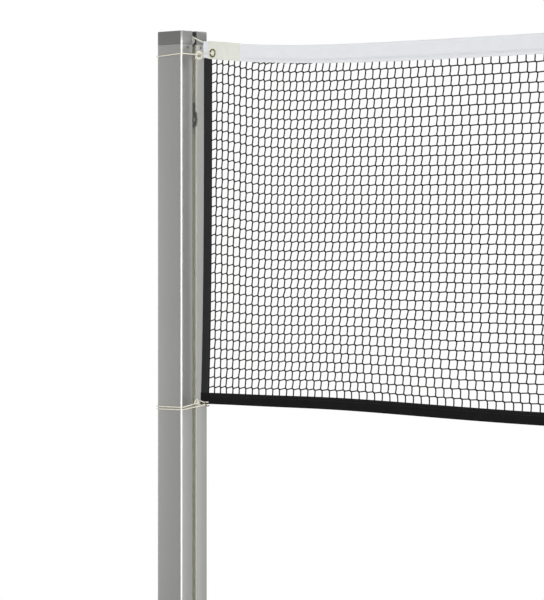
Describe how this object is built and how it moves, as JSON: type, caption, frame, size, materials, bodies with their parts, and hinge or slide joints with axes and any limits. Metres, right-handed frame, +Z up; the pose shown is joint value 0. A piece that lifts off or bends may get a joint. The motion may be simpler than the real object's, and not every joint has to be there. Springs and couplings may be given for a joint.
{
  "type": "badminton net set",
  "caption": "Badminton net with folded tapes, brass grommets and tie cords, strung between slotted square posts with head rollers and cord sliders.",
  "frame": {"origin": "floor level, midway between the two posts", "axes": "+X along the net from the left post to the right post, +Z up, Y through the net"},
  "size_m": [6.2382, 0.0822, 1.931],
  "materials": {
    "anodised_aluminium": "satin anodised",
    "cap_plastic": "moulded, fine grain",
    "foot_plastic": "moulded, fine grain",
    "roller_nylon": "smooth moulded",
    "steel": "bright plated",
    "slider_metal": "black anodised",
    "brass": "polished",
    "tie_cord": "twisted cream cord",
    "head_cord": "twisted cream cord",
    "white_tape": "woven tape",
    "patch": "coated cloth",
    "black_tape": "woven tape",
    "mesh_cord": "knotted cord",
    "foot_cord": "twisted black cord"
  },
  "bodies": {
    "root": {"left_post": "anodised_aluminium", "left_post_cap": "cap_plastic", "left_foot_plug": "foot_plastic", "left_roller_pin": "steel", "left_near_cap_screw": "steel", "left_far_cap_screw": "steel", "left_cord_drop": "head_cord", "left_upper_tie": "tie_cord", "left_lower_tie": "tie_cord", "left_side_tape": "black_tape", "left_end_patch": "patch", "left_grommet": "brass", "left_grommet_washer": "brass", "right_post": "anodised_aluminium", "right_post_cap": "cap_plastic", "right_foot_plug": "foot_plastic", "right_roller_pin": "steel", "right_near_cap_screw": "steel", "right_far_cap_screw": "steel", "right_cord_drop": "head_cord", "right_upper_tie": "tie_cord", "right_lower_tie": "tie_cord", "right_side_tape": "black_tape", "right_end_patch": "patch", "right_grommet": "brass", "right_grommet_washer": "brass", "netting": "mesh_cord", "top_tape": "white_tape", "bottom_tape": "black_tape", "headline_cord": "head_cord", "bottom_cord": "foot_cord"},
    "left_roller": {"left_head_roller": "roller_nylon"},
    "left_slider": {"left_cord_slider": "slider_metal", "left_stopper_knot": "head_cord"},
    "left_screw": {"left_clamp_screw": "steel"},
    "right_roller": {"right_head_roller": "roller_nylon"},
    "right_slider": {"right_cord_slider": "slider_metal", "right_stopper_knot": "head_cord"},
    "right_screw": {"right_clamp_screw": "steel"}
  },
  "joints": [
    {"name": "left_slider_travel", "type": "slide", "parent": "root", "child": "left_slider", "axis": [0, 0, 1], "range_m": [0, 0.04], "deforming": ["left_cord_drop"]},
    {"name": "left_roller_spin", "type": "hinge", "parent": "root", "child": "left_roller", "pos_m": [-3.054, 0, 1.558], "axis": [0, 1, 0], "range_deg": [0, 255]},
    {"name": "left_clamp_screw_turn", "type": "hinge", "parent": "left_slider", "child": "left_screw", "pos_m": [-3.041, 0, 1.3885], "axis": [1, 0, 0], "range_deg": [0, 270]},
    {"name": "right_slider_travel", "type": "slide", "parent": "root", "child": "right_slider", "axis": [0, 0, 1], "range_m": [0, 0.04], "deforming": ["right_cord_drop"]},
    {"name": "right_roller_spin", "type": "hinge", "parent": "root", "child": "right_roller", "pos_m": [3.054, 0, 1.558], "axis": [0, -1, 0], "range_deg": [0, 255]},
    {"name": "right_clamp_screw_turn", "type": "hinge", "parent": "right_slider", "child": "right_screw", "pos_m": [3.041, 0, 1.3885], "axis": [-1, 0, 0], "range_deg": [0, 270]}
  ],
  "couplings": [
    {"joint": "left_roller_spin", "follows": "left_slider_travel", "rad_per_m": 111.11},
    {"joint": "right_roller_spin", "follows": "right_slider_travel", "rad_per_m": 111.11}
  ]
}
